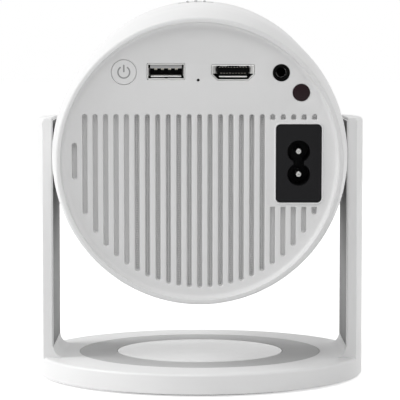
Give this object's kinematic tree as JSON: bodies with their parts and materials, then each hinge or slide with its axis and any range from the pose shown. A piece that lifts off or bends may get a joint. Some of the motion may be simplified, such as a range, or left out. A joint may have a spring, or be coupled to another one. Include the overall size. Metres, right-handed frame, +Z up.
{
  "type": "projector",
  "caption": "Round drum projector tilting between the arms of a disc-based stand, with rear sockets and vents, a mains inlet and a thumb-wheel focus.",
  "frame": {"origin": "middle of the foot, on the surface that the stand rests on", "axes": "+Z up, -Y towards the sockets in the rear, +Y the way the lens throws, +X to the right when the sockets are faced"},
  "size_m": [0.118, 0.118, 0.1366],
  "materials": {
    "white_casing": "fine satin moulding",
    "panel_grey": "fine matt moulding",
    "ring_grey": "satin",
    "base_cover_grey": "matt",
    "plain_steel": "plain zinc plate",
    "foot_rubber": "matt",
    "washer_plastic": "waxy",
    "fascia_black": "polished",
    "filter_grey": "fine open mesh",
    "bush_brass": "turned",
    "socket_steel": "folded sheet, nickel plate",
    "tongue_white": "smooth",
    "black_plastic": "fine matt moulding",
    "ir_window_dark": "polished",
    "pin_nickel": "polished nickel",
    "lead_rubber": "matt",
    "board_green": "solder mask",
    "part_amber": "tape and varnish",
    "bare_aluminium": "extruded",
    "reflector_mirror": "vapour coated",
    "clear_glass": "polished",
    "display_dark": "polished",
    "wheel_grey": "ribbed"
  },
  "bodies": {
    "stand": {"stand_frame": "white_casing", "base_ring_inlay": "ring_grey", "base_centre_disc": "white_casing", "base_weight": "plain_steel", "base_cover": "base_cover_grey", "foot_ring": "foot_rubber", "base_screws": "plain_steel", "left_arm_cover": "white_casing", "right_arm_cover": "white_casing", "left_pivot_stud": "plain_steel", "right_pivot_stud": "plain_steel", "friction_washers": "washer_plastic", "pivot_nuts": "plain_steel"},
    "drum": {"drum_shell": "white_casing", "front_bezel": "white_casing", "front_fascia": "fascia_black", "rear_panel": "panel_grey", "dust_filter": "filter_grey", "pivot_bushes": "bush_brass", "usb_shell": "socket_steel", "usb_tongue": "tongue_white", "hdmi_shell": "socket_steel", "hdmi_tongue": "black_plastic", "audio_jack": "black_plastic", "ir_window": "ir_window_dark", "ir_receiver": "black_plastic", "inlet_body": "black_plastic", "inlet_pins": "pin_nickel", "inlet_leads": "lead_rubber", "board_switches": "black_plastic", "main_board": "board_green", "board_chips": "black_plastic", "board_screws": "plain_steel", "power_board": "board_green", "power_board_parts": "part_amber", "speaker_frame": "black_plastic", "speaker_cone": "filter_grey", "fan_frame": "black_plastic", "heat_sink": "bare_aluminium", "led_board": "bare_aluminium", "led_reflector": "reflector_mirror", "heat_glass": "clear_glass", "rear_fresnel": "clear_glass", "lcd_panel": "display_dark", "lcd_ribbon": "part_amber", "front_fresnel": "clear_glass", "engine_housing": "black_plastic", "engine_screws": "plain_steel", "lens_mount": "black_plastic", "wheel_pin": "plain_steel"},
    "button": {"power_button": "white_casing"},
    "rotor": {"fan_rotor": "black_plastic"},
    "thumb_wheel": {"focus_wheel": "wheel_grey"},
    "ring": {"focus_ring": "black_plastic"},
    "lens_group": {"lens_barrel": "black_plastic", "front_lens": "clear_glass", "middle_lens": "clear_glass", "rear_lens": "clear_glass"}
  },
  "joints": [
    {"name": "drum_tilt", "type": "hinge", "parent": "stand", "child": "drum", "pos_m": [0, 0, 0.0822], "axis": [1, 0, 0], "range_deg": [-92.6, 87.4]},
    {"name": "button_press", "type": "slide", "parent": "drum", "child": "button", "axis": [0, 0.999, 0.0454], "range_m": [0, 0.0006], "stiffness_N_per_m": 800, "springref_m": -0.0003},
    {"name": "fan_spin", "type": "hinge", "parent": "drum", "child": "rotor", "pos_m": [0, 0.00006, 0.0808], "axis": [0, 0.999, 0.0454], "continuous": true},
    {"name": "focus_wheel_turn", "type": "hinge", "parent": "drum", "child": "thumb_wheel", "pos_m": [-0.00113, -0.00184, 0.12264], "axis": [0, 0.999, 0.0454], "range_deg": [-150, 150]},
    {"name": "focus_ring_turn", "type": "hinge", "parent": "drum", "child": "ring", "pos_m": [0, 0, 0.0822], "axis": [0, 0.999, 0.0454], "range_deg": [-56, 56]},
    {"name": "lens_slide", "type": "slide", "parent": "drum", "child": "lens_group", "axis": [0, 0.999, 0.0454], "range_m": [-0.00235, 0.00235]}
  ],
  "couplings": [
    {"joint": "focus_ring_turn", "follows": "lens_slide", "rad_per_m": -414.31},
    {"joint": "focus_wheel_turn", "follows": "lens_slide", "rad_per_m": 1111.1}
  ]
}
